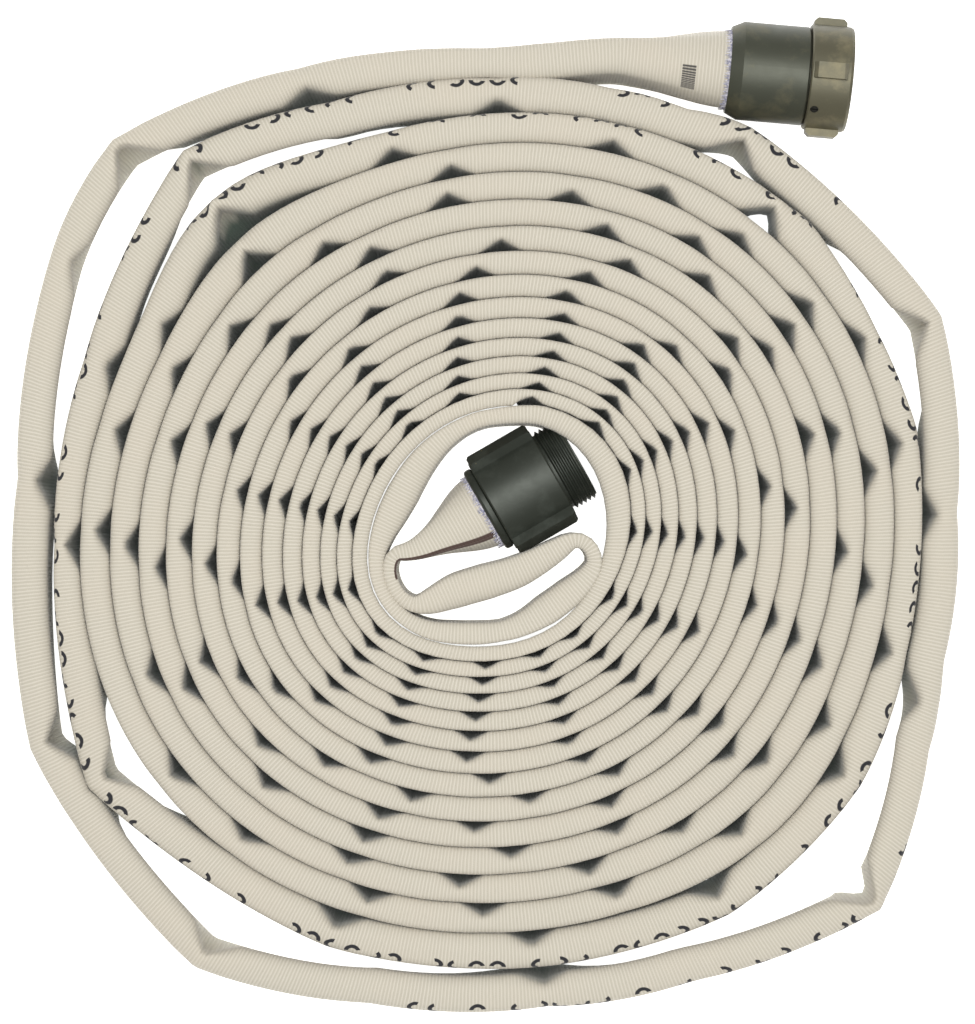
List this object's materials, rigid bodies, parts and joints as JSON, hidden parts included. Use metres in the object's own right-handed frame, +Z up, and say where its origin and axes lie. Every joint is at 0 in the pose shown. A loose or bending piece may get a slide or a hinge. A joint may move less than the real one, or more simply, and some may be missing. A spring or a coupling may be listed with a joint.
{
  "type": "rolled fire hose",
  "caption": "Flat double-jacket fire hose rolled into a spiral, with a free-turning threaded swivel coupling at the outer end and a fixed threaded coupling in the core.",
  "frame": {"origin": "middle of the object's base, on the floor the roll lies on", "axes": "+Z up along the roll's axis; +X along the outer coupling, pointing out of its threaded mouth"},
  "size_m": [0.5424, 0.5874, 0.0684],
  "materials": {
    "woven_jacket": "matte",
    "inner_weave": "matte",
    "liner_rubber": "matte",
    "anodised_aluminium": "satin",
    "brass_ring": "satin",
    "gasket_rubber": "matte",
    "ball_steel": "polished",
    "plug_steel": "satin"
  },
  "bodies": {
    "roll": {"outer_jacket": "woven_jacket", "inner_jacket": "inner_weave", "rubber_liner": "liner_rubber", "female_bowl": "anodised_aluminium", "female_expansion_ring": "brass_ring", "female_tail_gasket": "gasket_rubber", "male_coupling": "anodised_aluminium", "male_expansion_ring": "brass_ring", "male_tail_gasket": "gasket_rubber"},
    "swivel": {"female_swivel": "anodised_aluminium", "ball_plug": "plug_steel", "swivel_gasket": "gasket_rubber"},
    "balls": {"swivel_balls": "ball_steel"}
  },
  "joints": [
    {"name": "swivel_spin", "type": "hinge", "parent": "roll", "child": "swivel", "pos_m": [0.16593, 0.2596, 0.0343], "axis": [1, 0, 0], "continuous": true},
    {"name": "ball_spin", "type": "hinge", "parent": "roll", "child": "balls", "pos_m": [0.16593, 0.2596, 0.0343], "axis": [1, 0, 0], "continuous": true}
  ],
  "couplings": [
    {"joint": "ball_spin", "follows": "swivel_spin", "ratio": 0.5}
  ]
}
